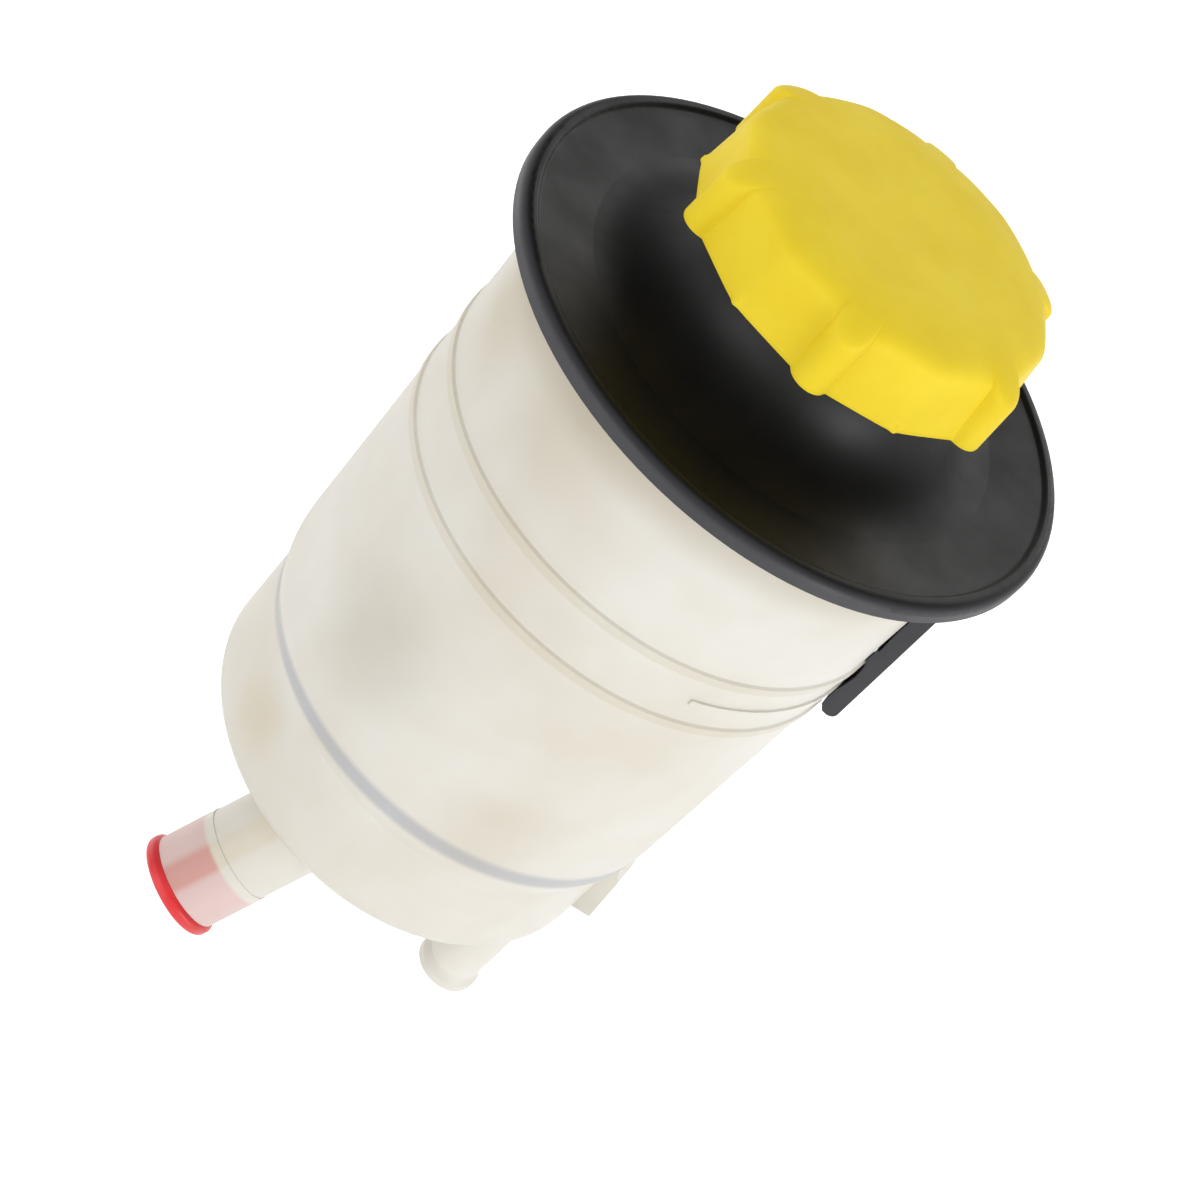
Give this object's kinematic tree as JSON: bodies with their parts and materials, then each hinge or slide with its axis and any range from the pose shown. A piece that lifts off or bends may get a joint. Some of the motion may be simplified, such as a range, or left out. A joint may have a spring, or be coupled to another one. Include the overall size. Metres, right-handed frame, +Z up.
{
  "type": "power steering fluid reservoir",
  "caption": "Translucent strap-held fluid tank with a screw filler cap, strainer, filter plate with bypass valve, an oblique plugged suction port and a straight return port.",
  "frame": {"origin": "on the tank's axis, halfway up the strap seat between its two ribs", "axes": "+Z up the tank's axis to the filler cap, +X towards the strap finger and the guide fin"},
  "size_m": [0.121, 0.121, 0.2102],
  "materials": {
    "tank_polyamide": "satin, milky and slightly translucent",
    "cover_polyamide": "satin",
    "cap_polyamide": "satin",
    "plate_polyamide": "satin",
    "seal_rubber": "matt",
    "breather_foam": "open foam",
    "strainer_polyamide": "satin",
    "nylon_mesh": "fine woven mesh",
    "filter_polyamide": "satin",
    "filter_rubber": "matt",
    "pipe_polyamide": "satin",
    "spring_steel": "drawn wire",
    "plug_polyethylene": "satin, soft"
  },
  "bodies": {
    "tank": {"reservoir_body": "tank_polyamide", "top_cover": "cover_polyamide", "cover_gasket": "seal_rubber", "strainer_frame": "strainer_polyamide", "strainer_mesh": "nylon_mesh", "filter_frame": "filter_polyamide", "filter_seal": "filter_rubber", "filter_mesh": "nylon_mesh", "return_pipe": "pipe_polyamide", "pipe_o_ring": "seal_rubber", "pipe_grommet": "seal_rubber", "diffuser_cap": "pipe_polyamide", "bypass_cage": "filter_polyamide", "bypass_spring": "spring_steel"},
    "cap_insert": {"cap_seal_plate": "plate_polyamide", "cap_gasket": "seal_rubber", "vent_valve": "seal_rubber", "breather_pad": "breather_foam"},
    "cap": {"filler_cap": "cap_polyamide"},
    "bypass_poppet": {"bypass_valve": "pipe_polyamide"},
    "plug": {"suction_plug": "plug_polyethylene"}
  },
  "joints": [
    {"name": "cap_rise", "type": "slide", "parent": "tank", "child": "cap_insert", "axis": [0, 0, 1], "range_m": [0, 0.0075]},
    {"name": "cap_turn", "type": "hinge", "parent": "cap_insert", "child": "cap", "pos_m": [0, 0, 0.07], "axis": [0, 0, 1], "range_deg": [0, 540]},
    {"name": "bypass_lift", "type": "slide", "parent": "tank", "child": "bypass_poppet", "axis": [0, 0, -1], "range_m": [0, 0.003], "stiffness_N_per_m": 150, "springref_m": -0.006, "deforming": ["bypass_spring"]},
    {"name": "plug_pull", "type": "slide", "parent": "tank", "child": "plug", "axis": [-0.3103, -0.4431, -0.841], "range_m": [0, 0.1]}
  ],
  "couplings": [
    {"joint": "cap_rise", "follows": "cap_turn", "m_per_rad": 0.00079577}
  ]
}
